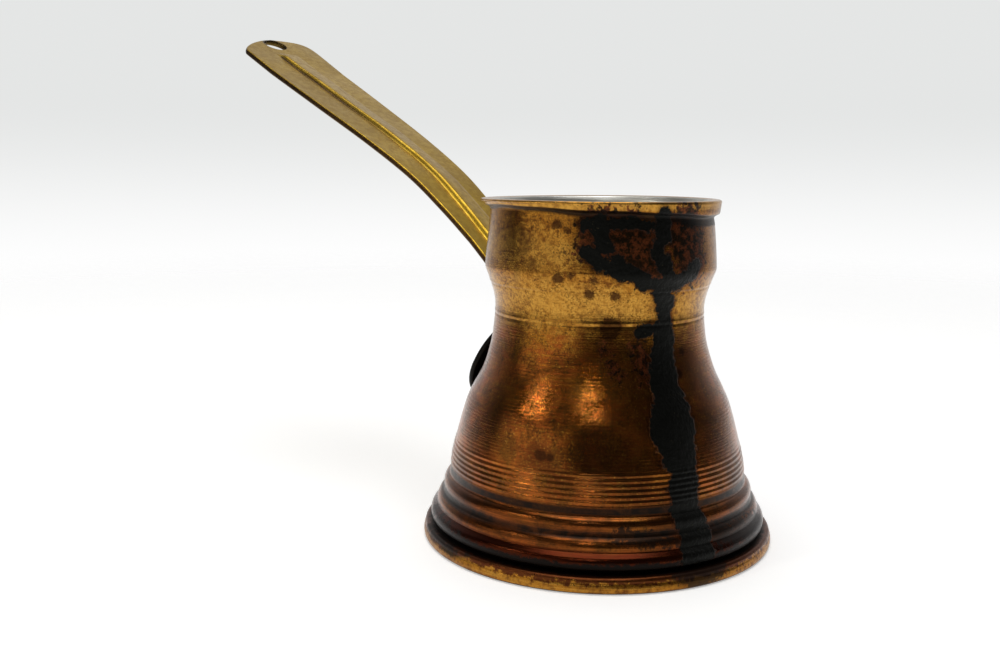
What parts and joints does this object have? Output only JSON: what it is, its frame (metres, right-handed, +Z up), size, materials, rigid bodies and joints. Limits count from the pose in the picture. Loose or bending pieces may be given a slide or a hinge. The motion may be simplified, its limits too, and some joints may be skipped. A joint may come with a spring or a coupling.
{
  "type": "coffee pot",
  "caption": "Waisted turned brass coffee pot with a stepped foot, a flared lip and a long ribbed strap handle that ends in a hanging hole.",
  "frame": {"origin": "centre of the foot's standing face, on the axis of the pot", "axes": "+Z up along the axis of the pot; the handle points along -X; the XZ plane is the mirror plane, apart from the slightly uneven hand-filed free end"},
  "size_m": [0.1704, 0.0782, 0.1191],
  "materials": {
    "brass_body": "tarnished and heat-stained outside, tinned inside",
    "brass_base": "turned, tarnished",
    "solder": "dull tin solder",
    "brass_handle": "satin, golden brown patina",
    "brass_rivet": "hammered, sooty"
  },
  "bodies": {
    "root": {"pot_body": "brass_body", "bottom_plate": "brass_base", "solder_seam": "solder", "handle": "brass_handle", "rivet_waist": "brass_rivet", "rivet_pad_upper": "brass_rivet", "rivet_pad_lower": "brass_rivet"}
  },
  "joints": []
}
